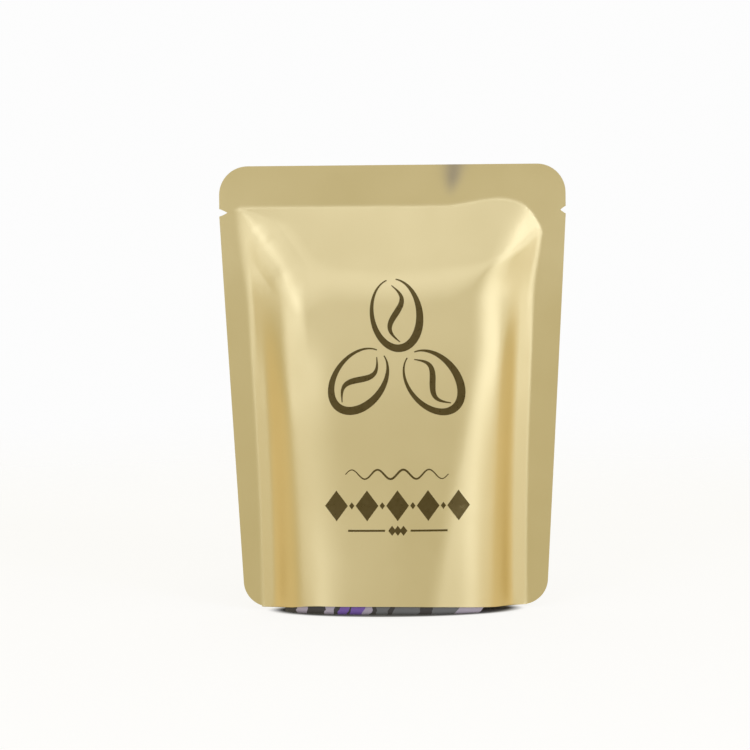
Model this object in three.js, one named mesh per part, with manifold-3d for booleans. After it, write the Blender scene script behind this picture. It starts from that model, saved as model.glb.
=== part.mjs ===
// A three-side seal foil bag, stuffed with a block of filling and standing on its open end.
// Millimetres, +Z up, the printed front facing -Y, the ground at z = 0 and the origin under the middle.
import * as THREE from "three";
import { mergeVertices } from "three/addons/utils/BufferGeometryUtils.js";
import Module from "manifold-3d";

// Outline of the bag, seen from the front.
const BAG_HEIGHT = 125.4;
const TOP_WIDTH = 98.2;
const BOTTOM_WIDTH = 85.9;
const TAPER_TOP = 111.5;
const TOP_CORNER_RADIUS = 8.1;
const BOTTOM_CORNER_RADIUS = 6.9;
const FIN_LIFT = 0.4;
const MOUTH_ARCH = 1.9;
const ARCH_LEFT = [-31, -15];
const ARCH_RIGHT = [27, 38];
const NOTCH_BELOW_TOP = 13.1;
const NOTCH_OPENING = 2.1;
const NOTCH_DEPTH_LEFT = 2.3;
const NOTCH_DEPTH_RIGHT = 1.5;

// Two films welded along the top and both sides. The top seal is narrower on the right.
const FILM = 0.4;
const TOP_SEAL = 11.2;
const RIGHT_RISE = 2.2;
const RIGHT_RISE_RANGE = [14, 31];
const POCKET_TOP_HALF = 43.4;
const POCKET_BOTTOM_HALF = 37.3;
const POCKET_SHIFT = -0.8;
const SEAL_BOW = 2;
const BOW_START = 50;

// The pocket's face, pushed out by the filling: deepest at the mouth, drawn in at the lower right. It
// keeps its lean over this range of shares of the filling's height.
const FILL_TOP = 95;
const FACE_RANGE = [-0.1, 1.2];
const DEPTH_BOTTOM = 14;
const DEPTH_TOP = 5.4;
const FACE_CROWN = 0.8;
const CROWN_HALF = 32;
const FALL = 2.4;
const FALL_ACROSS = [5, 30];
const FALL_UP = [15, 75];

// The slope up to the top seal, with a facet over the rounded upper right corner.
const TOP_SLOPE = 0.285;
const SEAL_FLARE = 0.25;
const CORNER_RADIUS = 11;
const CORNER_PLACE = 30.6;
const CORNER_TURN = Math.PI / 4;
const CORNER_SLOPE = 0.31;
const CORNER_ROUND = 1.2;
const CORNER_SPREAD = 2;
const CORNER_RANGE = [96, 106];
const RIM_SLOPE = 1.3;
const TOP_EDGE_ROUND = 1.6;
const HIP_ROUND = 1.2;
const HIP_RANGE = [16, 30];

// The sides: below, a steep wall mixed with a longer shoulder; above, a straight flank. Turns of the
// flank are shares of its run.
const WALL = 15;
const SHOULDER = 30;
const WALL_SHARE = 0.55;
const RIGHT_REACH = 0.88;
const FLANK_RUN = 13.5;
const FLANK_RUN_TOP = 10;
const FLANK_TOP_RANGE = [88, 106];
const FLANK_START = 0.12;
const FLANK_TURN = 0.36;
const FLANK_RANGE = [45, 88];

// The filling: a block that fills the middle of the pocket and carries the bag.
const FILL_LEFT = -22.5;
const FILL_RIGHT = 24.2;
const FILL_GAP = 0.5;
const FILL_HEIGHT = 92;

// How finely the curved panels are divided between these places.
const COLUMN_STOPS = [-1, -0.9, -0.45, 0.45, 0.9, 1];
const COLUMN_STEPS = [3, 14, 10, 14, 3];
const ROW_STOPS = [-3, 80, 117, 129];
const ROW_STEPS = [13, 24, 3];
const HOLLOW_COLUMN_STOPS = [-1, -0.5, 0.5, 1];
const HOLLOW_COLUMN_STEPS = [12, 8, 12];
const HOLLOW_ROW_STOPS = [-5, 80, 98];
const HOLLOW_ROW_STEPS = [9, 9];
const FILL_COLUMN_STEPS = 14;
const FILL_ROW_STEPS = 16;
const MOUTH_STEPS = 28;
const ARC_STEPS = 8;
const CUT_DEPTH = 80;
const HOLLOW_MARGIN = 2.5;
const HOLLOW_INSET = 0.15;

const { clamp, lerp, smoothstep } = THREE.MathUtils;

// Smaller of two values, rounded off where they come within reach of each other.
function softMin(a, b, reach) {
  const overlap = Math.max(reach - Math.abs(a - b), 0) / reach;
  return Math.min(a, b) - (overlap * overlap * reach) / 4;
}

// A rise that leaves zero tangentially and then climbs at the full rate.
function easeIn(rise, flare) {
  const r = Math.max(rise, 0);
  return r < flare ? (r * r) / (2 * flare) : r - flare / 2;
}

// Half width of the bag's outline at a height: a straight taper below the top seal.
function outlineHalf(z) {
  return lerp(BOTTOM_WIDTH, TOP_WIDTH, clamp(z / TAPER_TOP, 0, 1)) / 2;
}

// Half width of the pocket between the two side seals at a height: a parabola.
function pocketHalf(z) {
  return lerp(POCKET_BOTTOM_HALF, POCKET_TOP_HALF, (z / (BAG_HEIGHT - TOP_SEAL)) ** 2);
}

// Height of the top seal's lower edge.
function sealLower(x) {
  return BAG_HEIGHT - TOP_SEAL + FIN_LIFT + RIGHT_RISE * smoothstep(x, ...RIGHT_RISE_RANGE);
}

// A plane that rises from the top seal's lower edge, rounded into a facet that touches the arc of
// the upper right corner aslant.
function topSlope(x, z) {
  const u = x - CORNER_PLACE;
  const v = z - (sealLower(x) - CORNER_RADIUS);
  const aslant = CORNER_RADIUS - u * Math.sin(CORNER_TURN) - v * Math.cos(CORNER_TURN);
  return softMin(TOP_SLOPE * (sealLower(x) - z), CORNER_SLOPE * aslant, CORNER_ROUND);
}

// Height the film can reach so near a seal: a steep rim along the sides and the corner's arc.
function rim(x, z, inward) {
  const u = x - CORNER_PLACE;
  const v = z - (sealLower(x) - CORNER_RADIUS);
  const arc = CORNER_RADIUS - Math.hypot(Math.max(u, 0), Math.max(v, 0)) - Math.min(v, 0);
  return RIM_SLOPE * Math.max(Math.min(inward, arc), 0);
}

// S-curve from 0 to 1, steepest at a third of the way.
function rise(share) {
  const t = clamp(share, 0, 1);
  return 1 - (1 - t) ** 5 * (1 + 5 * t + 15 * t * t);
}

// Straight rise from 0 to 1 with a short soft start and a rounded end.
function flank(t) {
  return softMin(easeIn(t * (1 + FLANK_START / 2), FLANK_START), 1, FLANK_TURN);
}

// Share of the face's depth at a distance in from a side seal.
function sideRise(inward, right, z) {
  const reach = right ? RIGHT_REACH : 1;
  const lower = lerp(rise(inward / (SHOULDER * reach)), rise(inward / (WALL * reach)), WALL_SHARE);
  const upper = flank(inward / lerp(FLANK_RUN, FLANK_RUN_TOP, smoothstep(z, ...FLANK_TOP_RANGE)));
  return lerp(lower, upper, smoothstep(z, ...FLANK_RANGE));
}

// How far the film stands off the seal plane: the filling's face carried down to each side seal, cut
// by the slope up to the top seal.
function pocketDepth(x, z) {
  const up = clamp(z / FILL_TOP, ...FACE_RANGE);
  const across = x - POCKET_SHIFT;
  const crown = FACE_CROWN * Math.max(1 - (across / CROWN_HALF) ** 2, 0);
  const fall = FALL * smoothstep(x, ...FALL_ACROSS) * (1 - smoothstep(z, ...FALL_UP));
  const face = lerp(DEPTH_BOTTOM, DEPTH_TOP, up) + crown - fall;
  const inward = pocketHalf(z) - Math.abs(across);
  const spread = across > 0 ? CORNER_SPREAD * smoothstep(z, ...CORNER_RANGE) : 0;
  const side = face * sideRise(inward + spread, across > 0, z);
  const slope = easeIn(topSlope(x, z), SEAL_FLARE);
  const full = lerp(TOP_EDGE_ROUND, HIP_ROUND, smoothstep(Math.abs(across), ...HIP_RANGE));
  const rounding = clamp((side + slope) / 2, full / 10, full);
  return Math.max(Math.min(softMin(side, slope, rounding), rim(x, z, inward)), 0);
}

// How far the seal plane itself bends back in the middle towards the top.
function sealBow(x, z) {
  const across = x / (TOP_WIDTH / 2);
  return SEAL_BOW * (1 - across * across) * smoothstep(z, BOW_START, BAG_HEIGHT - TOP_SEAL);
}

// Height of the open mouth's edge: down at the seals, lifted off the ground between them.
function mouthHeight(x) {
  return FIN_LIFT + MOUTH_ARCH * smoothstep(x, ...ARCH_LEFT) * (1 - smoothstep(x, ...ARCH_RIGHT));
}

// Places along a line: each stretch between two stops is divided evenly.
function divided(stops, steps) {
  const places = [stops[0]];
  steps.forEach((count, k) => {
    for (let i = 1; i <= count; i += 1) {
      places.push(lerp(stops[k], stops[k + 1], i / count));
    }
  });
  return places;
}

const wasm = await Module();
wasm.setup();

function solidFrom(positions, triangles) {
  return new wasm.Manifold(
    new wasm.Mesh({
      numProp: 3,
      vertProperties: new Float32Array(positions),
      triVerts: new Uint32Array(triangles),
    }),
  );
}

// A closed body between a front and a back surface over one grid of columns and rows. The grid is
// split towards the upper corners on either half, along the folds that run there.
function bodyBetween(columns, rows, pointAt) {
  const nc = columns.length;
  const nr = rows.length;
  const positions = [];
  const triangles = [];
  const at = (side, i, j) => side * nc * nr + j * nc + i;
  for (const side of [0, 1]) {
    for (const v of rows) {
      for (const u of columns) {
        positions.push(...pointAt(side, u, v));
      }
    }
  }
  const quad = (a, b, c, d) => triangles.push(a, b, c, a, c, d);
  for (let j = 0; j < nr - 1; j += 1) {
    for (let i = 0; i < nc - 1; i += 1) {
      const front = [at(0, i, j), at(0, i + 1, j), at(0, i + 1, j + 1), at(0, i, j + 1)];
      const back = [at(1, i, j), at(1, i, j + 1), at(1, i + 1, j + 1), at(1, i + 1, j)];
      if (2 * i < nc - 1) {
        front.push(front.shift());
        back.push(back.shift());
      }
      quad(...front);
      quad(...back);
    }
    quad(at(0, 0, j), at(0, 0, j + 1), at(1, 0, j + 1), at(1, 0, j));
    quad(at(0, nc - 1, j + 1), at(0, nc - 1, j), at(1, nc - 1, j), at(1, nc - 1, j + 1));
  }
  for (let i = 0; i < nc - 1; i += 1) {
    quad(at(0, i + 1, 0), at(0, i, 0), at(1, i, 0), at(1, i + 1, 0));
    quad(at(0, i, nr - 1), at(0, i + 1, nr - 1), at(1, i + 1, nr - 1), at(1, i, nr - 1));
  }
  return solidFrom(positions, triangles);
}

// The outline as a flat shape: arched mouth, rounded corners and a tear notch in each side.
function outlineShape() {
  const shape = new THREE.Shape();
  const base = FIN_LIFT;
  const top = FIN_LIFT + BAG_HEIGHT;
  const foot = outlineHalf(0) - BOTTOM_CORNER_RADIUS;
  const head = TOP_WIDTH / 2 - TOP_CORNER_RADIUS;
  const notch = top - NOTCH_BELOW_TOP;
  const half = NOTCH_OPENING / 2;
  const side = outlineHalf(notch - half);
  shape.moveTo(-foot, base);
  for (let i = 1; i <= MOUTH_STEPS; i += 1) {
    const x = lerp(-foot, foot, i / MOUTH_STEPS);
    shape.lineTo(x, mouthHeight(x));
  }
  const heel = base + BOTTOM_CORNER_RADIUS;
  shape.quadraticCurveTo(outlineHalf(0), base, outlineHalf(heel), heel);
  shape.lineTo(side, notch - half);
  shape.quadraticCurveTo(side - NOTCH_DEPTH_RIGHT * 2, notch, TOP_WIDTH / 2, notch + half);
  shape.lineTo(TOP_WIDTH / 2, top - TOP_CORNER_RADIUS);
  shape.absarc(head, top - TOP_CORNER_RADIUS, TOP_CORNER_RADIUS, 0, Math.PI / 2);
  shape.absarc(-head, top - TOP_CORNER_RADIUS, TOP_CORNER_RADIUS, Math.PI / 2, Math.PI);
  shape.lineTo(-TOP_WIDTH / 2, notch + half);
  shape.quadraticCurveTo(NOTCH_DEPTH_LEFT * 2 - side, notch, -side, notch - half);
  shape.lineTo(-outlineHalf(heel), heel);
  shape.quadraticCurveTo(-outlineHalf(0), base, -foot, base);
  return shape;
}

// The outline cut straight through from front to back.
function outlineCut() {
  const cut = new THREE.ExtrudeGeometry(outlineShape(), {
    depth: CUT_DEPTH,
    bevelEnabled: false,
    curveSegments: ARC_STEPS,
  });
  cut.rotateX(Math.PI / 2);
  cut.translate(0, CUT_DEPTH / 2, 0);
  return solidOf(cut);
}

// A three.js geometry as a solid, with the corners that its faces share merged.
function solidOf(geometry) {
  geometry.deleteAttribute("normal");
  geometry.deleteAttribute("uv");
  const merged = mergeVertices(geometry);
  return solidFrom(merged.attributes.position.array, merged.index.array);
}

// The two films with everything between them, before the hollow is taken out.
function filledBag() {
  return bodyBetween(divided(COLUMN_STOPS, COLUMN_STEPS), divided(ROW_STOPS, ROW_STEPS), (side, u, z) => {
    const x = u * (outlineHalf(z) + FILM);
    const off = FILM + pocketDepth(x, z);
    return [x, sealBow(x, z) + (side === 0 ? -off : off), z];
  });
}

// The space between the films, open at the mouth.
function hollow() {
  const columns = divided(HOLLOW_COLUMN_STOPS, HOLLOW_COLUMN_STEPS);
  return bodyBetween(columns, divided(HOLLOW_ROW_STOPS, HOLLOW_ROW_STEPS), (side, u, z) => {
    const x = POCKET_SHIFT + u * (pocketHalf(z) - HOLLOW_MARGIN);
    const off = pocketDepth(x, z) - HOLLOW_INSET;
    return [x, sealBow(x, z) + (side === 0 ? -off : off), z];
  });
}

// The block in the middle of the pocket, following the films with a gap, flat underneath.
function filling() {
  const columns = divided([FILL_LEFT, FILL_RIGHT], [FILL_COLUMN_STEPS]);
  return bodyBetween(columns, divided([0, FILL_HEIGHT], [FILL_ROW_STEPS]), (side, x, z) => {
    const off = pocketDepth(x, z) - FILL_GAP;
    return [x, sealBow(x, z) + (side === 0 ? -off : off), z];
  });
}

function meshFrom(solid, name, material) {
  const mesh = solid.getMesh();
  const geometry = new THREE.BufferGeometry();
  geometry.setAttribute("position", new THREE.BufferAttribute(mesh.vertProperties, mesh.numProp));
  geometry.setIndex(new THREE.BufferAttribute(mesh.triVerts, 1));
  geometry.computeVertexNormals();
  const made = new THREE.Mesh(geometry, material);
  made.name = name;
  return made;
}

const foil = new THREE.MeshStandardMaterial({ color: 0xd8c48e, roughness: 0.4, metalness: 1 });
const stuffing = new THREE.MeshStandardMaterial({ color: 0x8f8a92, roughness: 0.5, metalness: 0.3 });

const part = new THREE.Group();
part.add(meshFrom(filledBag().intersect(outlineCut()).subtract(hollow()), "bag", foil));
part.add(meshFrom(filling(), "filling", stuffing));

export default part;
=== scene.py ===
"""Looks of a three-side seal foil bag that stands on its open end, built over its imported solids.

Metres, +Z up, the printed front facing -Y. Surfaces are worked out from BagSizes and the values below.
"""

import math

import bpy
import numpy as np
from mathutils import Matrix, Vector


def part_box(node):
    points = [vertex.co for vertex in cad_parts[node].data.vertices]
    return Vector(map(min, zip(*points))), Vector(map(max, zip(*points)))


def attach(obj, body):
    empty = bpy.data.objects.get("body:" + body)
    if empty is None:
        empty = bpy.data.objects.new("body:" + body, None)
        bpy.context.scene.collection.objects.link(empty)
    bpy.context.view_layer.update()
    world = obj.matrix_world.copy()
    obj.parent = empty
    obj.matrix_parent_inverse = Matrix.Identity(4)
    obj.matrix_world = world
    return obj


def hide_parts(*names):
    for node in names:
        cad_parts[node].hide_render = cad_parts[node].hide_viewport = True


bl_info = {
    "name": "Three-side seal foil bag",
    "version": (1, 0, 0),
    "blender": (4, 5, 0),
    "location": "View3D > Sidebar > Foil bag",
    "description": "Makes a stuffed foil bag with its print, its filling and a studio stage",
    "category": "Add Mesh",
}

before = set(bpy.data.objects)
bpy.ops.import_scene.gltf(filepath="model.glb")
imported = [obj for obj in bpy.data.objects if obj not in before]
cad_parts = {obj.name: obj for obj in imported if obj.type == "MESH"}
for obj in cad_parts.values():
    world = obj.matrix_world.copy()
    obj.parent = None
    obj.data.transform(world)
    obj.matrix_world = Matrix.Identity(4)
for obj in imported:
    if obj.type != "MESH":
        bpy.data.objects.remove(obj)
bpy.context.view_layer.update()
BAG_LOW, BAG_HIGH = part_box("bag")
FILL_LOW, FILL_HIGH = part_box("filling")

MM = 0.001


def mm(*values):
    """Millimetres as metres."""
    return tuple(v * MM for v in values)


# How far the filling holds the film above its place in the solids.
SIT = 0.6 * MM

# The outline narrows downwards from this height. A tear notch's opening and the curve of its edges.
TAPER_TOP = 111.5 * MM
NOTCH_OPENING = 2.1 * MM
NOTCH_CURVE = 0.8

# The pocket between the side seals: where its middle lies at the foot and at the top, and how much it
# widens just below the top seal.
POCKET_SHIFT = mm(-0.45, -0.8)
POCKET_SHIFT_TOP = 100.0 * MM
POCKET_FLARE = 1.2 * MM
POCKET_FLARE_RANGE = mm(86.0, 107.0)

# The top seal's lower edge is higher on the right, where the pocket has a rounded corner. A facet lies
# aslant over that corner: how far it passes the arc, its direction and slope, how strongly it bends
# along with the arc and how far, and how softly it meets the slope up to the top seal.
RIGHT_RISE = 2.0 * MM
RIGHT_RISE_RANGE = mm(14.0, 31.0)
CORNER_RADIUS = 11.6 * MM
CORNER_PLACE = 30.9 * MM
CORNER_OVER = -0.1 * MM
CORNER_TURN = math.radians(55)
CORNER_SLOPE = 0.33
CORNER_BEND = 0.8
BEND_END = 5.0 * MM
CORNER_ROUND = 0.9 * MM

# Slope up to the top seal, how softly it leaves the seal, and the steepest slope beside any seal.
TOP_SLOPE = 0.285
SEAL_FLARE = 0.25 * MM
RIM_SLOPE = 1.3

# How far the seal plane lies back: a bow in the middle, and a curl of the upper corners.
SEAL_BOW = 2.0 * MM
BOW_START = 50.0 * MM
SEAL_CURL = 1.6 * MM
CURL_RANGE = mm(84.0, 124.0)

# The face over the filling: between which shares of the filling's height its depth changes, and its
# crown. Near the foot it turns to the right past a slanting crease, and gently to the left: place,
# slope and rounding of each turn, and the heights between which it fades out.
DEPTH_RANGE = (-0.1, 1.2)
FACE_CROWN = 0.8 * MM
CROWN_HALF = 32.0 * MM
CREASE_PLACE = 7.2 * MM
CREASE_LEAN = 0.175
CREASE_SLOPE = 0.17
CREASE_ROUND = 5.0 * MM
CREASE_UP = mm(30.0, 80.0)
TURN_PLACE = 6.0 * MM
TURN_SLOPE = 0.07
TURN_ROUND = 8.0 * MM
TURN_UP = mm(15.0, 70.0)

# Rounding of the edge between the face and the slope above it: in the middle, at its left and right
# ends, where across it changes, and its least share where the film lies low.
TOP_EDGE_ROUND = 1.0 * MM
HIP_ROUND = mm(2.6, 0.35)
HIP_RANGE = mm(16.0, 30.0)
LEAST_ROUND = 0.1

# The face's sides, as left and right values where they differ. Below, beside the seal, a gentle lip:
# slope, run, how far it goes on under the wall, rounding and soft start. Then a short wall and a long
# shoulder, mixed by the wall's share, with their runs as shares of BagSizes. Above, a straight flank:
# run, growth of the run towards the top and between which heights, soft start and rounded end as shares
# of the run, the heights between which it takes over, and how much higher it does so.
LIP_SLOPE = 0.4
LIP_RUN = mm(3.2, 3.8)
LIP_OVER = 2.5 * MM
LIP_ROUND = 3.0 * MM
LIP_START = 1.0 * MM
WALL_SHARE = 0.55
WALL_RUN = (1.0, 0.89)
SHOULDER_RUN = (1.0, 0.765)
FLANK_RUN = mm(13.1, 14.2)
FLANK_GROWTH = mm(4.1, -3.4)
FLANK_GROWTH_RANGE = mm(88.0, 106.0)
FLANK_START = 0.22
FLANK_TURN = 0.36
FLANK_RANGE = mm(62.0, 90.0)
FLANK_HIGHER = mm(0.0, 8.0)

# The mouth's edge: where it rises at the left, where it falls at the right and how late, and how far up
# the film the arch is felt.
ARCH_LEFT = mm(-36.5, -22.0)
ARCH_RIGHT = mm(-8.0, 33.5)
ARCH_DROP = 2.5
ARCH_REACH = 30.0 * MM

# A pinch in the top seal: place and height of its foot, lean, half width, that width's share at the
# foot, the share of its height at which it is full, and depth. Painted shade darkens the foil along it.
PINCH_PLACE = 16.3 * MM
PINCH_FOOT = 115.5 * MM
PINCH_LEAN = 1.3 * MM
PINCH_HALF = 1.9 * MM
PINCH_NARROW = 0.6
PINCH_FULL = 0.7
PINCH_DEPTH = 0.1 * MM

# Folds of each film: height, half width, start and end as (across, up).
FRONT_FOLDS = ((0.3 * MM, 6.0 * MM, mm(-38.4, 107.5), mm(-28.2, 92.5)),)
BACK_FOLDS = (
    (0.3 * MM, 5.0 * MM, mm(42.0, 111.0), mm(29.0, 92.0)),
    (0.3 * MM, 5.0 * MM, mm(-42.0, 110.0), mm(-29.5, 91.5)),
    (0.25 * MM, 9.0 * MM, mm(-18.0, 86.0), mm(14.0, 60.0)),
)
# How round a fold's crest is, and between which shares of its length it grows and fades.
FOLD_ROUND = 0.5
FOLD_GROWS = (-0.1, 0.2)
FOLD_FADES = (0.75, 1.1)
# Hollows of the back film: height, centre and reach as (across, up).
BACK_DENTS = ((-0.3 * MM, mm(8.0, 40.0), mm(12.0, 18.0)),)
# Folds and hollows fade out where the film lies lower than this.
RELIEF_START = 1.5 * MM

# How finely the film is divided: rows of a rounded corner and of the stretches between the upper
# corner, both ends of the notch, the height down to which rows are closer, and the lower corner;
# columns between shares of the half width. The notches pull in the columns past a share.
CORNER_ROWS = 14
BODY_ROWS = (8, 14, 80, 80)
CLOSER_ROWS = 84.0 * MM
FILM_STOPS = (-1.0, -0.87, -0.42, 0.42, 0.87, 1.0)
FILM_COLUMNS = (12, 60, 40, 60, 12)
NOTCH_COLUMNS = 0.9
# The lining inside: its rows, how far it reaches above the filling, up to which share of the pocket its
# columns lie under those outside, and the share at which they end.
LINING_ROWS = 26
LINING_OVER = 4.0 * MM
LINING_EVEN = 0.85
LINING_END = 0.99
# Edges sharper than this, in degrees, aren't shaded smooth.
SHARP_EDGE = 50

# The filling: room between it and the film, how thin it may get, how far its left end reaches past its
# place in the solids, rounding of its lower edges at the left and right end, how far its right end
# slants out above the ground and over what height, and its columns and rows.
PACK_GAP = 0.5 * MM
PACK_THIN = 0.2 * MM
PACK_LEFT = 9.0 * MM
PACK_ROUND = mm(1.6, 0.8)
PACK_SLANT = mm(-0.8, 1.4)
PACK_SLANT_HEIGHT = 2.7 * MM
PACK_COLUMNS = 90
PACK_ROWS = (10, 50)
# Fields of its film: how far their edges wander and where each starts, in shares of its length. The
# dark fields are painted shade in its folds; the others are its print.
PACK_WANDER = 0.04
PACK_FIELDS = (
    (0.0, "dark"),
    (0.08, "pale"),
    (0.13, "dark"),
    (0.225, "pale"),
    (0.27, "dark"),
    (0.29, "violet"),
    (0.337, "dark"),
    (0.35, "violet"),
    (0.415, "pale"),
    (0.455, "dark"),
    (0.48, "grey"),
    (0.54, "dark"),
    (0.567, "grey"),
    (0.695, "dark"),
    (0.76, "grey"),
    (0.885, "pale"),
)

# The print stands a hair proud of the film and is rooted in it. A brush gives a stroke's width at its
# ends, its greatest width, and the share of its length where that is. Sizes are (wide, tall), places
# (across, up).
PRINT_RISE = 0.07 * MM
PRINT_ROOT = 0.08 * MM
BRUSH_FULLNESS = 1.4
# Beans: centre and turn in degrees of each, size, where the ring starts and how far round it goes in
# degrees, and the swing and half height of the groove as shares of the bean.
BEANS = ((mm(0.6, 84.0), 8), (mm(-9.8, 65.6), -38), (mm(10.8, 65.0), 40))
BEAN_SIZE = mm(13.4, 19.5)
RING_START = 100
RING_SWEEP = 338
RING_BRUSH = (0.35 * MM, 2.3 * MM, 0.62)
RING_STEPS = 120
GROOVE_SWING = 0.17
GROOVE_HALF = 0.41
GROOVE_BRUSH = (0.3 * MM, 1.7 * MM, 0.5)
GROOVE_STEPS = 60
# The wave under the beans.
WAVE_SPAN = mm(-14.0, 15.0)
WAVE_UP = 39.0 * MM
WAVE_SWING = 1.3 * MM
WAVE_COUNT = 4
WAVE_BRUSH = (0.25 * MM, 0.6 * MM, 0.5)
LINE_STEPS = 160
# The row of lozenges: middle, step, height, how many to each side, and sizes of large and small ones.
ROW_MIDDLE = 0.6 * MM
ROW_STEP = 8.6 * MM
ROW_UP = 30.2 * MM
ROW_HALF = 2
ROW_LARGE = mm(6.4, 8.6)
ROW_SMALL = mm(1.5, 2.0)
LOZENGE_TIP = 0.05 * MM
LOZENGE_STEPS = 25
# The split rule at the foot, with lozenges in its gap.
RULE_UP = 23.2 * MM
RULE_SPANS = (mm(-13.4, -3.0), mm(4.2, 14.6))
RULE_WIDTH = 0.55 * MM
GAP_PLACES = mm(-1.0, 0.6, 2.2)
GAP_SIZE = mm(2.2, 2.8)

# The materials: sizes of their patterns, and the roughness between which a pattern varies. The
# lacquer's grain is finer than 0.1 mm: it is drawn larger so that it shows.
GRAIN = 0.4 * MM
GRAIN_DEPTH = 0.03 * MM
GLOSS_PATCH = 14.0 * MM
FOIL_ROUGH = (0.36, 0.40)
WORN_SPECK = 1.1 * MM
PRINT_ROUGH = (0.25, 0.42)
FIELD_WANDER = 2.0 * MM
PACK_CREASE = 4.0 * MM
PACK_CREASE_DEPTH = 0.3 * MM
FLOOR_MOTTLE = 60.0 * MM
FLOOR_ROUGH = (0.75, 0.95)
# Noise lies mostly between these values.
NOISE_SPAN = (0.3, 0.7)

# Soft lamps, all of one height and colour, at one distance from a spot in the bag: name, degrees round
# from the front, degrees up, width (m), power (W).
LAMPS = (
    ("lamp_left", -22, 16, 0.3, 2.3),
    ("lamp_left_low", -40, 4, 0.45, 1.45),
    ("lamp_front", 2, 30, 0.88, 1.9),
    ("lamp_right", 31, 22, 0.3, 2.4),
    ("lamp_right_low", 38, 4, 0.75, 2.7),
    ("lamp_side", 65, 4, 0.3, 0.65),
)
LAMP_HEIGHT = 0.3
LAMP_COLOUR = "#cdd8ff"
LAMP_DISTANCE = 1.5
LAMP_AIM = mm(0.0, 0.0, 60.0)

# The room's light, as a strength and a colour, before the bag and to its sides, each from above and
# from below, and the parts of a direction upwards and aside between which these change.
ROOM_FRONT = ((0.54, "#fff7dc"), (0.67, "#fff8e0"))
ROOM_SIDE = ((0.5, "#fff6c0"), (1.11, "#ffeccf"))
ROOM_UP_RANGE = (0.1, -0.15)
ROOM_ASIDE_RANGE = (0.7, 0.98)
BACKDROP = 0.98

# The floor: a disc with a pinhole under the bag, which fades out between two shares of its radius. It
# glows but for an oval under the bag, a painted shadow, with a soft edge between two shares of the oval.
FLOOR_RADIUS = 0.75
FLOOR_PINHOLE = 2.0 * MM
FLOOR_RINGS = 24
FLOOR_SPOKES = 97
FLOOR_FADE = (0.3, 0.98)
FLOOR_GLOW = 0.80
FLOOR_SHADE = mm(34.5, 17.0)
SHADE_EDGE = (0.92, 1.08)

# The photograph's view: nearly level, from just above the height of the bag's top, with a slight roll.
VIEW_DISTANCE = 1.0
VIEW_RISE = 3.9
VIEW_ROLL = -0.55
VIEW_AIM = mm(-5.4, 0.0, 66.9)
VIEW_LENS = 169.0
VIEW_SENSOR = 36.0
VIEW_NEAR = 10.0 * MM


def length(name, text, default):
    """A length setting in metres."""
    return bpy.props.FloatProperty(name=name, description=text, default=default, unit="LENGTH", precision=4)


def linear(hex_code):
    """A #rrggbb colour as linear red, green and blue, by the sRGB standard's curve."""
    parts = np.array([int(hex_code[i : i + 2], 16) for i in (1, 3, 5)]) / 255
    return tuple(np.where(parts <= 0.04045, parts / 12.92, ((parts + 0.055) / 1.055) ** 2.4))


def colour(name, text, hex_code):
    """A colour setting."""
    return bpy.props.FloatVectorProperty(
        name=name, description=text, default=linear(hex_code), size=3, subtype="COLOR", min=0, max=1
    )


class BagSizes(bpy.types.PropertyGroup):
    """Sizes of the bag and what is in it."""

    height: length("Height", "Top edge above the foot of the seals", BAG_HIGH.z - BAG_LOW.z)
    lift: length("Lift", "Foot of the side seals above the ground", BAG_LOW.z)
    top_width: length("Top width", "Width across the top seal", BAG_HIGH.x - BAG_LOW.x)
    foot_width: length("Foot width", "Width across the foot of the side seals", 85.9 * MM)
    top_corner: length("Top corner radius", "Rounding of the upper corners", 8.1 * MM)
    foot_corner: length("Foot corner radius", "Rounding of the lower corners", 6.9 * MM)
    top_seal: length("Top seal", "Height of the welded band at the top", 11.2 * MM)
    pocket_top: length("Pocket half width, top", "Half the clear width at the top seal", 43.4 * MM)
    pocket_foot: length("Pocket half width, foot", "Half the clear width at the mouth", 38.2 * MM)
    depth_top: length("Depth at the filling's top", "Bulge of one film there", 5.4 * MM)
    depth_foot: length("Depth at the mouth", "Bulge of one film there", 14.0 * MM)
    wall: length("Wall", "Run of the steep part inside a side seal", 14.6 * MM)
    shoulder: length("Shoulder", "Run of the soft part inside a side seal", 30.0 * MM)
    fill_top: length("Filling top", "Height at which the face turns into the upper slope", 95.0 * MM)
    arch: length("Mouth arch", "Lift of the mouth's edge between the seals", 1.5 * MM)
    notch_below_top: length("Notch place", "Tear notches below the top edge", 13.1 * MM)
    notch_left: length("Left notch", "Depth of the left tear notch", 2.3 * MM)
    notch_right: length("Right notch", "Depth of the right tear notch", 1.5 * MM)
    film: length("Film", "Thickness of one film", 0.15 * MM)


class BagColours(bpy.types.PropertyGroup):
    """Colours of the bag, its print, its filling and the floor, with painted shade for a crease of the
    film and for the filling's folds.
    """

    foil: colour("Foil", "Gold lacquered foil", "#dccb95")
    # Painted shade: the darker grey that the foil takes in the crease of the pinch.
    crease: colour("Crease", "Lacquer greyed where the film is pinched", "#b3a78b")
    print_: colour("Print", "Hot-stamped print", "#5d4f2a")
    pack_grey: colour("Filling", "Grey film of the inner pack", "#706f6a")
    pack_violet: colour("Filling field", "Violet field on the inner pack", "#7a5ca0")
    pack_pale: colour("Filling edge", "Pale strips on the inner pack", "#b0a5ab")
    # Painted shade: the dark colour of the inner pack's folds.
    pack_dark: colour("Filling folds", "Dark folds of the inner pack", "#46423d")
    floor: colour("Floor", "Pale studio floor", "#8e8e8e")


def smooth(value, low, high):
    """0 below low, 1 above high, and a smooth cubic between."""
    t = np.clip((value - low) / (high - low), 0, 1)
    return t * t * (3 - 2 * t)


def soft_min(a, b, reach):
    """The smaller of two fields, rounded off where they come within reach of each other."""
    overlap = np.clip(reach - np.abs(a - b), 0, None) / reach
    return np.minimum(a, b) - overlap**2 * reach / 4


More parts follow.
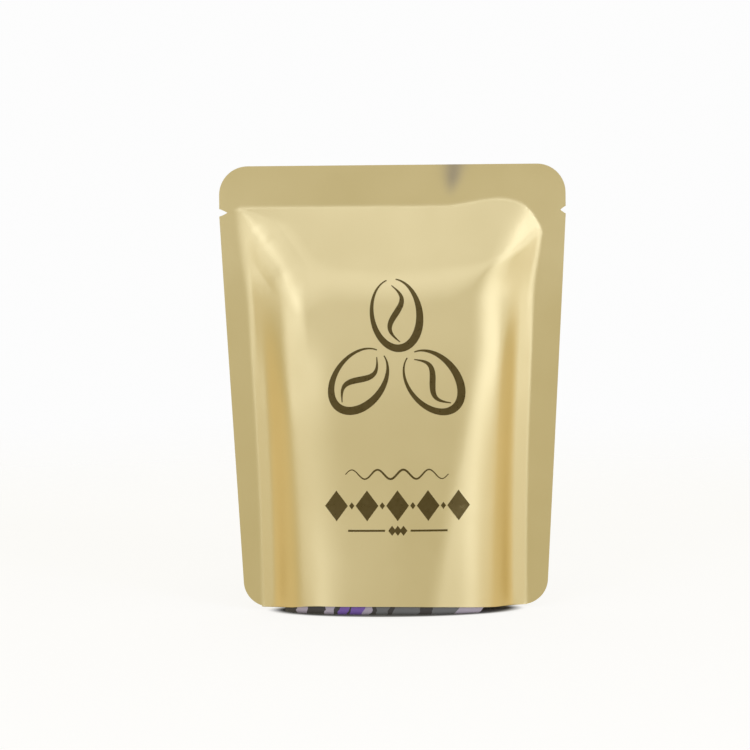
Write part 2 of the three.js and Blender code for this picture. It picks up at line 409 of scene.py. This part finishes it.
def ease_in(rise, flare):
    """A rise that leaves zero tangentially: quadratic below flare, then straight at the full rate."""
    r = np.clip(rise, 0, None)
    return np.where(r < flare, r * r / (2 * flare), r - flare / 2)


def blend(low, high, share):
    """Straight mix of two values."""
    return low + (high - low) * share


def s_curve(t):
    """S-curve from 0 to 1, steepest a third of the way along: the running sum of t squared times
    (1 - t) to the fourth."""
    t = np.clip(t, 0, 1)
    return 1 - (1 - t) ** 5 * (1 + 5 * t + 15 * t * t)


def sided(right, values):
    """The left or the right one of two values."""
    return np.where(right, values[1], values[0])


def outline_half(s, z):
    """Half width of the outline: a straight taper, cut by a quarter circle at foot and top."""
    straight = blend(s.foot_width, s.top_width, np.clip(z / TAPER_TOP, 0, 1)) / 2
    below = np.clip(s.foot_corner - (z - s.lift), 0, s.foot_corner)
    above = np.clip(z - (s.lift + s.height - s.top_corner), 0, s.top_corner)
    foot_cut = s.foot_corner - np.sqrt(s.foot_corner**2 - below**2)
    top_cut = s.top_corner - np.sqrt(s.top_corner**2 - above**2)
    return straight - foot_cut - top_cut


def notch(s, z, depth):
    """Depth of a tear notch at a height: a power of the distance from the ends of its opening."""
    away = np.abs(z - (s.lift + s.height - s.notch_below_top)) / (NOTCH_OPENING / 2)
    return depth * np.clip(1 - away, 0, 1) ** NOTCH_CURVE


def pocket_half(s, z):
    """Half width between the side seals: a parabola from the mouth to the top seal, flared above."""
    half = blend(s.pocket_foot, s.pocket_top, (z / (s.height - s.top_seal)) ** 2)
    return half + POCKET_FLARE * smooth(z, *POCKET_FLARE_RANGE)


def pocket_middle(z):
    """Middle between the side seals, a little further left at the top."""
    return blend(*POCKET_SHIFT, np.clip(z / POCKET_SHIFT_TOP, 0, 1))


def seal_edge(s, x):
    """Height of the top seal's lower edge: level, with a smooth step up to the right."""
    return s.height - s.top_seal + s.lift + RIGHT_RISE * smooth(x, *RIGHT_RISE_RANGE)


def from_corner(s, x, z):
    """How far across and up a point lies from the centre of the pocket's upper right corner."""
    return x - CORNER_PLACE, z - (seal_edge(s, x) - CORNER_RADIUS)


def top_slope(s, x, z):
    """Slope up to the top seal: a plane from the seal's lower edge, rounded on the right into a facet
    that lies aslant over the corner's arc and bends along with it in a parabola."""
    u, v = from_corner(s, x, z)
    along = np.clip(u * math.cos(CORNER_TURN) - v * math.sin(CORNER_TURN), -CORNER_RADIUS, None)
    along = soft_min(along, BEND_END, BEND_END)
    aslant = CORNER_RADIUS + CORNER_OVER - u * math.sin(CORNER_TURN) - v * math.cos(CORNER_TURN)
    aslant = aslant - CORNER_BEND * along**2 / (2 * CORNER_RADIUS)
    return soft_min(TOP_SLOPE * (seal_edge(s, x) - z), CORNER_SLOPE * aslant, CORNER_ROUND)


def rim(s, x, z, inward):
    """Height that the film can reach so near a seal: a steep rim along the sides and the corner."""
    u, v = from_corner(s, x, z)
    arc = CORNER_RADIUS - np.hypot(np.clip(u, 0, None), np.clip(v, 0, None)) - np.clip(v, None, 0)
    return RIM_SLOPE * np.clip(np.minimum(inward, arc), 0, None)


def flank(t):
    """A straight rise from 0 to 1 with a short soft start and a rounded end."""
    return soft_min(ease_in(t * (1 + FLANK_START / 2), FLANK_START), 1.0, FLANK_TURN)


def side_height(s, face, inward, right, z):
    """Height of the film at a distance in from a side seal: below, a gentle lip, a short steep wall and
    a long shoulder; above, a straight flank, which towards the top grows longer on the left and shorter
    on the right."""
    lip_run = sided(right, LIP_RUN)
    lip = LIP_SLOPE * soft_min(ease_in(inward, LIP_START), lip_run + LIP_OVER, LIP_ROUND)
    past = np.clip(inward - lip_run, 0, None)
    shoulder = s_curve(past / (s.shoulder * sided(right, SHOULDER_RUN) - lip_run))
    wall = s_curve(past / (s.wall * sided(right, WALL_RUN) - lip_run))
    lower = lip + (face - LIP_SLOPE * (lip_run + LIP_OVER)) * blend(shoulder, wall, WALL_SHARE)
    run = sided(right, FLANK_RUN) + sided(right, FLANK_GROWTH) * smooth(z, *FLANK_GROWTH_RANGE)
    above = smooth(z - sided(right, FLANK_HIGHER), *FLANK_RANGE)
    return blend(lower, face * flank(inward / run), above)


def face_turns(x, z):
    """How far the face falls off near the foot: right of a slanting crease, and gently to the left."""
    right = CREASE_SLOPE * ease_in(x - CREASE_PLACE - CREASE_LEAN * z, CREASE_ROUND)
    left = TURN_SLOPE * ease_in(TURN_PLACE - x, TURN_ROUND)
    return right * (1 - smooth(z, *CREASE_UP)) + left * (1 - smooth(z, *TURN_UP))


def pocket_depth(s, x, z):
    """Distance of the film from the seal plane: the filling's face with a parabola for its crown,
    carried down to each side seal, cut by the slope up to the top seal with a rounded edge between, and
    held under the rim."""
    across = x - pocket_middle(z)
    right = across > 0
    depth = blend(s.depth_foot, s.depth_top, np.clip(z / s.fill_top, *DEPTH_RANGE))
    crown = FACE_CROWN * np.clip(1 - (across / CROWN_HALF) ** 2, 0, None)
    face = depth + crown - face_turns(x, z)
    inward = pocket_half(s, z) - np.abs(across)
    side = side_height(s, face, inward, right, z)
    slope = ease_in(top_slope(s, x, z), SEAL_FLARE)
    rounding = blend(TOP_EDGE_ROUND, sided(right, HIP_ROUND), smooth(np.abs(across), *HIP_RANGE))
    rounding = np.clip((side + slope) / 2, LEAST_ROUND * rounding, rounding)
    return np.clip(np.minimum(soft_min(side, slope, rounding), rim(s, x, z, inward)), 0, None)


def dent(x, z, centre, reach):
    """A bell over an ellipse: 1 at its centre, with the given reach across and up."""
    return np.exp(-(((x - centre[0]) / reach[0]) ** 2) - ((z - centre[1]) / reach[1]) ** 2)


def fold(x, z, start, end, width):
    """A ridge of height 1 along a line: a hyperbola across, round at the crest, fading at both ends."""
    run = np.subtract(end, start)
    size = math.hypot(*run)
    along = ((x - start[0]) * run[0] + (z - start[1]) * run[1]) / size**2
    aside = ((x - start[0]) * run[1] - (z - start[1]) * run[0]) / size
    across = math.hypot(1, FOLD_ROUND) - np.hypot(aside / width, FOLD_ROUND)
    ridge = np.clip(across, 0, None) / (math.hypot(1, FOLD_ROUND) - FOLD_ROUND)
    return ridge * smooth(along, *FOLD_GROWS) * (1 - smooth(along, *FOLD_FADES))


def folds(x, z, lines):
    """All the folds of a film together."""
    return sum(height * fold(x, z, start, end, width) for height, width, start, end in lines)


def pinch(s, x, z):
    """Share of the pinch at a point of the top seal: a bell across, wider and stronger to the top."""
    up = np.clip((z - PINCH_FOOT) / (s.lift + s.height - PINCH_FOOT), 0, 1)
    aside = (x - PINCH_PLACE - PINCH_LEAN * up) / (PINCH_HALF * (PINCH_NARROW + up))
    return smooth(up, 0, PINCH_FULL) * np.exp(-(aside**2))


def seal_bow(s, x, z):
    """How far the seal plane lies back: a parabola across that grows towards the top, the pinch, and
    the curl of the upper corners, which grows with the square of the distance across."""
    across = x / (s.top_width / 2)
    bow = SEAL_BOW * (1 - across**2) * smooth(z, BOW_START, s.height - s.top_seal)
    curl = SEAL_CURL * across**2 * smooth(z, *CURL_RANGE)
    return bow + PINCH_DEPTH * pinch(s, x, z) + curl


def mouth_arch(s, x):
    """Lift of the mouth's edge over the foot of the seals: a quick rise at the left, and at the right a
    long fall by a power of the distance."""
    fall = np.clip((x - ARCH_RIGHT[0]) / (ARCH_RIGHT[1] - ARCH_RIGHT[0]), 0, 1) ** ARCH_DROP
    return s.arch * smooth(x, *ARCH_LEFT) * (1 - fall)


def film_off(s, x, z, relief):
    """Distance of a film's outer face from the seal plane, its relief fading out towards the seals."""
    depth = pocket_depth(s, x, z)
    return s.film + np.clip(depth + relief * smooth(depth, 0, RELIEF_START), 0, None)


def front_off(s, x, z):
    """Front film's outer face, forwards from the seal plane: a crest runs down its upper left."""
    return film_off(s, x, z, folds(x, z, FRONT_FOLDS))


def back_off(s, x, z):
    """Back film's outer face, backwards from the seal plane: a crest runs down each upper corner, and a
    slack line and a shallow hollow lie between."""
    hollow = sum(height * dent(x, z, centre, reach) for height, centre, reach in BACK_DENTS)
    return film_off(s, x, z, folds(x, z, BACK_FOLDS) + hollow)


def divided(stops, steps):
    """Places along a line, each stretch between two stops divided evenly."""
    parts = [np.linspace(a, b, n, endpoint=False) for a, b, n in zip(stops[:-1], stops[1:], steps)]
    return np.concatenate(parts + [np.array(stops[-1:])])


def mesh_object(name, points, faces, material):
    """A smooth-shaded object at the origin from points in metres and quads."""
    mesh = bpy.data.meshes.new(name)
    mesh.from_pydata(points.reshape(-1, 3).tolist(), [], faces.tolist())
    mesh.update()
    mesh.polygons.foreach_set("use_smooth", np.ones(len(mesh.polygons), bool))
    mesh.set_sharp_from_angle(angle=math.radians(SHARP_EDGE))
    mesh.materials.append(material)
    made = bpy.data.objects.new(name, mesh)
    bpy.context.collection.objects.link(made)
    return made


def point_values(made, name, values):
    """Gives an object's points a named value for its material."""
    made.data.attributes.new(name, "FLOAT", "POINT").data.foreach_set("value", values.ravel())


def grid_faces(index):
    """Quads between neighbours of a 2-D array of point numbers."""
    return np.stack([index[:-1, :-1], index[:-1, 1:], index[1:, 1:], index[1:, :-1]], -1).reshape(-1, 4)


def slab(front, back):
    """Points and outward quads of a closed body between two grids of points of (rows, columns, 3)."""
    rows, columns = front.shape[:2]
    front_index = np.arange(rows * columns).reshape(rows, columns)
    back_index = front_index + rows * columns
    edge = np.concatenate(
        [front_index[0, :], front_index[1:, -1], front_index[-1, -2::-1], front_index[-2:0:-1, 0]]
    )
    behind = edge + rows * columns
    walls = np.stack([np.roll(edge, -1), edge, behind, np.roll(behind, -1)], -1)
    faces = np.concatenate([grid_faces(front_index), grid_faces(back_index)[:, ::-1], walls])
    return np.stack([front, back]), faces


def node(tree, kind, inputs=None, links=None, **settings):
    """Adds a shader node with its settings, socket values and links."""
    made = tree.nodes.new(kind)
    for key, value in settings.items():
        setattr(made, key, value)
    for key, value in (inputs or {}).items():
        made.inputs[key].default_value = value
    for key, socket in (links or {}).items():
        tree.links.new(socket, made.inputs[key])
    return made


def noise(tree, size, detail):
    """Cloudy noise fixed to the object, with patches of the given size."""
    place = node(tree, "ShaderNodeTexCoord").outputs["Object"]
    made = node(tree, "ShaderNodeTexNoise", {"Scale": 1 / size, "Detail": detail}, {"Vector": place})
    return made.outputs["Fac"]


def ranged(tree, value, source, target=(0.0, 1.0), curve="LINEAR"):
    """A value carried from one range over to another, and held at its ends."""
    ends = dict(zip(("From Min", "From Max", "To Min", "To Max"), (*source, *target)))
    made = node(tree, "ShaderNodeMapRange", ends, {"Value": value}, interpolation_type=curve)
    return made.outputs["Result"]


def new_material(name):
    """An empty node material and its tree."""
    made = bpy.data.materials.new(name)
    made.use_nodes = True
    made.node_tree.nodes.clear()
    return made, made.node_tree


def finish_material(tree, shader):
    """Connects a shader to the material's output."""
    node(tree, "ShaderNodeOutputMaterial", links={"Surface": shader})


def satin_gold_foil(c):
    """Aluminium foil laminate, gold lacquered and satin calendered: a soft metallic sheen with a very
    fine grain, broad patches that are slightly more or less glossy, and painted shade, a darker grey,
    along the crease where the film is pinched."""
    made, tree = new_material("satin_gold_foil_laminate")
    grain = noise(tree, GRAIN, detail=2.0)
    rough = ranged(tree, noise(tree, GLOSS_PATCH, detail=3.0), NOISE_SPAN, FOIL_ROUGH)
    bump = node(tree, "ShaderNodeBump", {"Strength": 0.12, "Distance": GRAIN_DEPTH}, {"Height": grain})
    # Painted shade: the foil colour is mixed towards a darker grey where the top seal is pinched into a
    # crease.
    pinched = node(tree, "ShaderNodeAttribute", attribute_name="pinched").outputs["Fac"]
    foil_and_crease_shade = {"A": (*c.foil, 1), "B": (*c.crease, 1)}
    lacquer = node(tree, "ShaderNodeMix", foil_and_crease_shade, {"Factor": pinched}, data_type="RGBA")
    shader = node(
        tree,
        "ShaderNodeBsdfPrincipled",
        {"Metallic": 1.0},
        {"Base Color": lacquer.outputs["Result"], "Roughness": rough, "Normal": bump.outputs["Normal"]},
    )
    finish_material(tree, shader.outputs["BSDF"])
    return made


def stamped_bronze(c):
    """Hot-stamped bronze foil: dark, a little glossier than the lacquer, worn duller in fine specks."""
    made, tree = new_material("hot_stamped_bronze")
    worn = ranged(tree, noise(tree, WORN_SPECK, detail=4.0), NOISE_SPAN, PRINT_ROUGH)
    shader = node(
        tree,
        "ShaderNodeBsdfPrincipled",
        {"Base Color": (*c.print_, 1), "Metallic": 0.85},
        {"Roughness": worn},
    )
    finish_material(tree, shader.outputs["BSDF"])
    return made


def inner_pack_film(c):
    """Printed plastic film of a folded inner pack: grey, with violet fields between pale strips, and
    painted shade, a dark colour, where it is folded."""
    made, tree = new_material("printed_pack_film")
    along = node(tree, "ShaderNodeAttribute", attribute_name="along").outputs["Fac"]
    edges = node(
        tree,
        "ShaderNodeMath",
        {1: PACK_WANDER},
        {0: noise(tree, FIELD_WANDER, detail=1.0), 2: along},
        operation="MULTIPLY_ADD",
    )
    ramp = node(tree, "ShaderNodeValToRGB", links={"Fac": edges.outputs["Value"]})
    ramp.color_ramp.interpolation = "CONSTANT"
    while len(ramp.color_ramp.elements) < len(PACK_FIELDS):
        ramp.color_ramp.elements.new(1.0)
    for element, (start, shade) in zip(ramp.color_ramp.elements, PACK_FIELDS):
        element.position = start
        element.color = (*getattr(c, "pack_" + shade), 1)
    creases = noise(tree, PACK_CREASE, detail=3.0)
    relief = {"Strength": 0.5, "Distance": PACK_CREASE_DEPTH}
    bump = node(tree, "ShaderNodeBump", relief, {"Height": creases})
    shader = node(
        tree,
        "ShaderNodeBsdfPrincipled",
        {"Roughness": 0.5, "Specular IOR Level": 0.2},
        {"Base Color": ramp.outputs["Color"], "Normal": bump.outputs["Normal"]},
    )
    finish_material(tree, shader.outputs["BSDF"])
    return made


def stroke(path, widths):
    """A flat ribbon as a grid of (across, up) places: a path carried aside by half its width."""
    run = np.gradient(path, axis=0)
    run /= np.linalg.norm(run, axis=1, keepdims=True)
    aside = np.stack([-run[:, 1], run[:, 0]], 1) * widths[:, None] / 2
    return np.stack([path - aside, path, path + aside], 1)


def turned(path, centre, degrees):
    """A path turned about its own origin and then moved to a centre."""
    t = math.radians(degrees)
    spin = np.array([[math.cos(t), math.sin(t)], [-math.sin(t), math.cos(t)]])
    return path @ spin + np.array(centre)


def brush(t, thin, thick, swell):
    """Width along a brush stroke: a power of a sine, thin at both ends and thickest at swell."""
    near = np.where(t < swell, t / swell, (1 - t) / (1 - swell))
    return thin + (thick - thin) * np.sin(near * math.pi / 2) ** BRUSH_FULLNESS


def bean(centre, degrees):
    """One roasted bean: an open brush stroke round an ellipse, and a sine down its middle."""
    wide, tall = BEAN_SIZE
    t = np.linspace(0, 1, RING_STEPS)
    turn = np.radians(RING_START + RING_SWEEP * t)
    ring = np.stack([wide / 2 * np.cos(turn), tall / 2 * np.sin(turn)], 1)
    b = np.linspace(0, 1, GROOVE_STEPS)
    groove = np.stack([GROOVE_SWING * wide * np.sin(2 * math.pi * b), GROOVE_HALF * tall * (1 - 2 * b)], 1)
    return [
        stroke(turned(ring, centre, degrees), brush(t, *RING_BRUSH)),
        stroke(turned(groove, centre, degrees), brush(b, *GROOVE_BRUSH)),
    ]


def lozenge(centre, wide, tall):
    """A diamond as a short stroke that swells and shrinks in straight lines."""
    t = np.linspace(0, 1, LOZENGE_STEPS)
    path = np.stack([np.zeros_like(t) + centre[0], centre[1] + tall * (0.5 - t)], 1)
    return stroke(path, np.maximum(wide * (1 - np.abs(2 * t - 1)), LOZENGE_TIP))


def print_strokes():
    """All strokes of the print: three beans, and below them a wave, a row of lozenges and a rule."""
    beans = [part for centre, degrees in BEANS for part in bean(centre, degrees)]
    t = np.linspace(0, 1, LINE_STEPS)
    wave = np.stack([blend(*WAVE_SPAN, t), WAVE_UP + WAVE_SWING * np.sin(2 * math.pi * WAVE_COUNT * t)], 1)
    large = ROW_MIDDLE + ROW_STEP * np.arange(-ROW_HALF, ROW_HALF + 1)
    small = (large[:-1] + large[1:]) / 2
    row = [lozenge((across, ROW_UP), *ROW_LARGE) for across in large]
    dots = [lozenge((across, ROW_UP), *ROW_SMALL) for across in small]
    lines = [np.stack([blend(*span, t), np.full_like(t, RULE_UP)], 1) for span in RULE_SPANS]
    rules = [stroke(line, np.full_like(t, RULE_WIDTH)) for line in lines]
    gap = [lozenge((across, RULE_UP), *GAP_SIZE) for across in GAP_PLACES]
    return [*beans, stroke(wave, brush(t, *WAVE_BRUSH)), *row, *dots, *rules, *gap]


def film_rows(s):
    """Heights of the film's rows from the top edge down, closer at its corners and notches."""
    top = s.lift + s.height
    turn = np.linspace(0, math.pi / 2, CORNER_ROWS)
    head = top - s.top_corner * (1 - np.cos(turn))
    foot = s.lift + s.foot_corner * (1 - np.sin(turn))
    tip = top - s.notch_below_top
    stops = [head[-1], tip + NOTCH_OPENING / 2, tip - NOTCH_OPENING / 2, CLOSER_ROWS, foot[0]]
    body = divided(stops, BODY_ROWS)
    return np.concatenate([head, body[1:], foot[1:]])


def film_loops(s, x, z, inset):
    """Levels of the film as closed loops, each across the front from left to right and then back across
    the rear, set in from the outer faces. The mouth's arch fades out upwards by a square."""
    level = z + mouth_arch(s, x) * np.clip(1 - (z - s.lift) / ARCH_REACH, 0, 1) ** 2
    bow = seal_bow(s, x, level)
    front = np.stack([x, bow - front_off(s, x, level) + inset, level], -1)
    back = np.stack([x, bow + back_off(s, x, level) - inset, level], -1)
    return np.concatenate([front, back[:, ::-1]], 1)


def film_points(s):
    """The whole film as rows of closed loops: down the outside from the top edge to the mouth, and up
    the inside to a lining's end above the filling."""
    u = divided(FILM_STOPS, FILM_COLUMNS)[None, :]
    z = film_rows(s)[:, None]
    notched = np.clip((np.abs(u) - NOTCH_COLUMNS) / (1 - NOTCH_COLUMNS), 0, 1)
    cut = np.where(u < 0, notch(s, z, s.notch_left), -notch(s, z, s.notch_right))
    outside = film_loops(s, u * outline_half(s, z) + notched * cut, z, 0.0)
    up = np.linspace(s.lift, s.fill_top + LINING_OVER, LINING_ROWS)[:, None]
    share = np.abs(u) * outline_half(s, np.array(s.lift + s.foot_corner)) / s.pocket_foot
    squeezed = blend(LINING_EVEN, LINING_END, (share - LINING_EVEN) / (share.max() - LINING_EVEN))
    inner = np.where(share < LINING_EVEN, share, squeezed)
    inside = film_loops(s, pocket_middle(up) + np.sign(u) * inner * pocket_half(s, up), up, s.film)
    return np.concatenate([outside, inside])


def film_faces(rows, columns):
    """Quads of the loops, closed round each level, with both end loops zipped shut front to back."""
    index = np.arange(rows * columns).reshape(rows, columns)
    closed = np.concatenate([index, index[:, :1]], 1)
    half = columns // 2
    zip_top = np.stack([index[0, :half], index[0, ::-1][:half]])
    zip_end = np.stack([index[-1, ::-1][:half], index[-1, :half]])
    return np.concatenate([grid_faces(closed)[:, ::-1], grid_faces(zip_top), grid_faces(zip_end)])


class FOILBAG_OT_film(bpy.types.Operator):
    """Make the foil bag's film"""

    bl_idname = "foilbag.film"
    bl_label = "Film"

    def execute(self, context):
        s = context.scene.foilbag_sizes
        points = film_points(s)
        points[..., 2] += SIT
        faces = film_faces(*points.shape[:2])
        bag = mesh_object("foil_film", points, faces, satin_gold_foil(context.scene.foilbag_colours))
        # The pinch's share also sets where the foil is darkened with painted shade.
        point_values(bag, "pinched", pinch(s, points[..., 0], points[..., 2] - SIT))
        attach(bag, "root")
        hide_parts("bag")
        return {"FINISHED"}


class FOILBAG_OT_print(bpy.types.Operator):
    """Make the hot-stamped print on the front film"""

    bl_idname = "foilbag.print"
    bl_label = "Print"

    def execute(self, context):
        s = context.scene.foilbag_sizes
        points = []
        faces = []
        count = 0
        for flat in print_strokes():
            x = flat[..., 0].T
            z = flat[..., 1].T
            y = seal_bow(s, x, z) - front_off(s, x, z)
            laid, quads = slab(np.stack([x, y - PRINT_RISE, z], -1), np.stack([x, y + PRINT_ROOT, z], -1))
            laid[..., 2] += SIT
            points.append(laid.reshape(-1, 3))
            faces.append(quads + count)
            count += len(points[-1])
        ink = stamped_bronze(context.scene.foilbag_colours)
        made = mesh_object("front_print", np.concatenate(points), np.concatenate(faces), ink)
        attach(made, "root")
        return {"FINISHED"}


class FOILBAG_OT_filling(bpy.types.Operator):
    """Make the folded pack that fills the bag's mouth"""

    bl_idname = "foilbag.filling"
    bl_label = "Filling"

    def execute(self, context):
        s = context.scene.foilbag_sizes
        along = np.linspace(0, 1, PACK_COLUMNS)[None, :]
        z = divided([FILL_LOW.z, PACK_ROUND[0], FILL_HIGH.z], PACK_ROWS)[:, None]
        right = FILL_HIGH.x + blend(*PACK_SLANT, np.clip(z / PACK_SLANT_HEIGHT, 0, 1))
        x = blend(FILL_LOW.x - PACK_LEFT, right, along)
        radius = blend(*PACK_ROUND, along)
        under = radius - np.sqrt(radius**2 - np.clip(radius - z, 0, radius) ** 2)
        half = np.clip(pocket_depth(s, x, z) - PACK_GAP - under, PACK_THIN, None)
        bow = seal_bow(s, x, z)
        level = np.broadcast_to(z, x.shape)
        points, faces = slab(np.stack([x, bow - half, level], -1), np.stack([x, bow + half, level], -1))
        pack = mesh_object("filling_pack", points, faces, inner_pack_film(context.scene.foilbag_colours))
        point_values(pack, "along", np.broadcast_to(along, (2, *x.shape)))
        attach(pack, "root")
        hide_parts("filling")
        return {"FINISHED"}


def aim(made, spot, target):
    """Places an object at a spot, turned so that its -Z looks at a target."""
    made.location = spot
    made.rotation_euler = (Vector(target) - Vector(spot)).to_track_quat("-Z", "Y").to_euler()


def round_the_bag(target, turn, up, distance):
    """A point at a turn from the front and an angle up, in degrees, at a distance from a target."""
    t = math.radians(turn)
    r = math.radians(up)
    back = Vector((math.sin(t) * math.cos(r), -math.cos(t) * math.cos(r), math.sin(r)))
    return Vector(target) + back * distance


def floor_disc():
    """Points and quads of a flat disc, in rings round its pinhole."""
    rings = np.linspace(FLOOR_PINHOLE, FLOOR_RADIUS, FLOOR_RINGS)
    spokes = np.linspace(0, 2 * math.pi, FLOOR_SPOKES)
    radius, turn = np.meshgrid(rings, spokes, indexing="ij")
    points = np.stack([radius * np.cos(turn), radius * np.sin(turn), np.zeros_like(radius)], -1)
    return points, grid_faces(np.arange(radius.size).reshape(radius.shape))


def studio_floor(c):
    """Matt acrylic of a light table: pale, faintly mottled, glowing evenly but for a painted shadow
    under the bag, and fading out to its rim.
    """
    made, tree = new_material("matt_acrylic_light_table")
    place = node(tree, "ShaderNodeTexCoord").outputs["Object"]
    rough = ranged(tree, noise(tree, FLOOR_MOTTLE, detail=3.0), (0.0, 1.0), FLOOR_ROUGH)
    # Painted shadow: the glow is left out of an oval under the bag, so that the floor stays dark there.
    shadow_patch = node(
        tree,
        "ShaderNodeVectorMath",
        {1: (1 / FLOOR_SHADE[0], 1 / FLOOR_SHADE[1], 0)},
        {0: place},
        operation="MULTIPLY",
    ).outputs["Vector"]
    off_shadow_patch = node(tree, "ShaderNodeVectorMath", links={0: shadow_patch}, operation="LENGTH").outputs["Value"]
    glow = ranged(tree, off_shadow_patch, SHADE_EDGE, (0.0, FLOOR_GLOW), "SMOOTHSTEP")
    shader = node(
        tree,
        "ShaderNodeBsdfPrincipled",
        {"Base Color": (*c.floor, 1), "Specular IOR Level": 0.2, "Emission Color": (1, 1, 1, 1)},
        {"Roughness": rough, "Emission Strength": glow},
    )
    out = node(tree, "ShaderNodeVectorMath", links={0: place}, operation="LENGTH").outputs["Value"]
    fade = ranged(tree, out, [share * FLOOR_RADIUS for share in FLOOR_FADE], curve="SMOOTHSTEP")
    clear = node(tree, "ShaderNodeBsdfTransparent").outputs["BSDF"]
    mix = node(tree, "ShaderNodeMixShader", links={0: fade, 1: shader.outputs["BSDF"], 2: clear})
    finish_material(tree, mix.outputs["Shader"])
    return made


def studio_lamp(name, turn, up, width, power):
    """A soft oblong lamp that looks at the bag and isn't seen itself."""
    light = bpy.data.lights.new(name, "AREA")
    light.shape = "RECTANGLE"
    light.size = width
    light.size_y = LAMP_HEIGHT
    light.energy = power
    light.color = linear(LAMP_COLOUR)
    lamp = bpy.data.objects.new(name, light)
    lamp.visible_camera = False
    bpy.context.collection.objects.link(lamp)
    aim(lamp, round_the_bag(LAMP_AIM, turn, up, LAMP_DISTANCE), LAMP_AIM)


def two_tones(tree, tones, share):
    """A colour between two tones, each a strength and a colour."""
    ends = {key: (*(power * v for v in linear(shade)), 1) for key, (power, shade) in zip("AB", tones)}
    return node(tree, "ShaderNodeMix", ends, {"Factor": share}, data_type="RGBA").outputs["Result"]


def studio_room():
    """A world of four tones, mixed by how far up and how far aside a direction points, with white paper
    behind the bag."""
    made = bpy.data.worlds.new("room")
    made.use_nodes = True
    tree = made.node_tree
    tree.nodes.clear()
    way = node(tree, "ShaderNodeTexCoord").outputs["Generated"]
    heading = node(tree, "ShaderNodeSeparateXYZ", links={"Vector": way})
    aside = node(tree, "ShaderNodeMath", links={0: heading.outputs["X"]}, operation="ABSOLUTE")
    below = ranged(tree, heading.outputs["Z"], ROOM_UP_RANGE, curve="SMOOTHSTEP")
    tones = {
        "Factor": ranged(tree, aside.outputs["Value"], ROOM_ASIDE_RANGE, curve="SMOOTHSTEP"),
        "A": two_tones(tree, ROOM_FRONT, below),
        "B": two_tones(tree, ROOM_SIDE, below),
    }
    tone = node(tree, "ShaderNodeMix", links=tones, data_type="RGBA").outputs["Result"]
    room = node(tree, "ShaderNodeBackground", links={"Color": tone}).outputs["Background"]
    white = {"Color": (1, 1, 1, 1), "Strength": BACKDROP}
    paper = node(tree, "ShaderNodeBackground", white).outputs["Background"]
    seen = node(tree, "ShaderNodeLightPath").outputs["Is Camera Ray"]
    mix = node(tree, "ShaderNodeMixShader", links={0: seen, 1: room, 2: paper})
    node(tree, "ShaderNodeOutputWorld", links={"Surface": mix.outputs["Shader"]})
    return made


def photo_camera():
    """A camera at the photograph's angle."""
    camera = bpy.data.cameras.new("camera")
    camera.lens = VIEW_LENS
    camera.sensor_width = VIEW_SENSOR
    camera.clip_start = VIEW_NEAR
    seat = bpy.data.objects.new("camera", camera)
    bpy.context.collection.objects.link(seat)
    aim(seat, round_the_bag(VIEW_AIM, 0, VIEW_RISE, VIEW_DISTANCE), VIEW_AIM)
    roll = Matrix.Rotation(math.radians(VIEW_ROLL), 3, "Z")
    seat.rotation_euler = (seat.rotation_euler.to_matrix() @ roll).to_euler()
    return seat


class FOILBAG_OT_stage(bpy.types.Operator):
    """Make the floor, the lamps, the room's light and the camera"""

    bl_idname = "foilbag.stage"
    bl_label = "Stage"

    def execute(self, context):
        floor = mesh_object("floor", *floor_disc(), studio_floor(context.scene.foilbag_colours))
        floor.visible_glossy = False
        for lamp in LAMPS:
            studio_lamp(*lamp)
        context.scene.world = studio_room()
        context.scene.view_settings.view_transform = "Standard"
        context.scene.camera = photo_camera()
        return {"FINISHED"}


class FOILBAG_PT_panel(bpy.types.Panel):
    """Lists the bag's pieces and settings"""

    bl_idname = "FOILBAG_PT_panel"
    bl_label = "Foil bag"
    bl_space_type = "VIEW_3D"
    bl_region_type = "UI"
    bl_category = "Foil bag"

    def draw(self, context):
        for step in STEPS:
            self.layout.operator(step.bl_idname)
        for group in (context.scene.foilbag_sizes, context.scene.foilbag_colours):
            for key in group.bl_rna.properties.keys():
                if key not in {"rna_type", "name"}:
                    self.layout.prop(group, key)


STEPS = (FOILBAG_OT_film, FOILBAG_OT_print, FOILBAG_OT_filling, FOILBAG_OT_stage)
CLASSES = (BagSizes, BagColours, *STEPS, FOILBAG_PT_panel)


def register():
    """Adds the bag's settings, steps and panel to Blender."""
    for kind in CLASSES:
        bpy.utils.register_class(kind)
    bpy.types.Scene.foilbag_sizes = bpy.props.PointerProperty(type=BagSizes)
    bpy.types.Scene.foilbag_colours = bpy.props.PointerProperty(type=BagColours)


def unregister():
    """Takes them out again."""
    del bpy.types.Scene.foilbag_colours
    del bpy.types.Scene.foilbag_sizes
    for kind in reversed(CLASSES):
        bpy.utils.unregister_class(kind)


def main():
    """Makes the bag and its stage."""
    register()
    bpy.ops.foilbag.film()
    bpy.ops.foilbag.print()
    bpy.ops.foilbag.filling()
    bpy.ops.foilbag.stage()


if __name__ == "__main__":
    main()
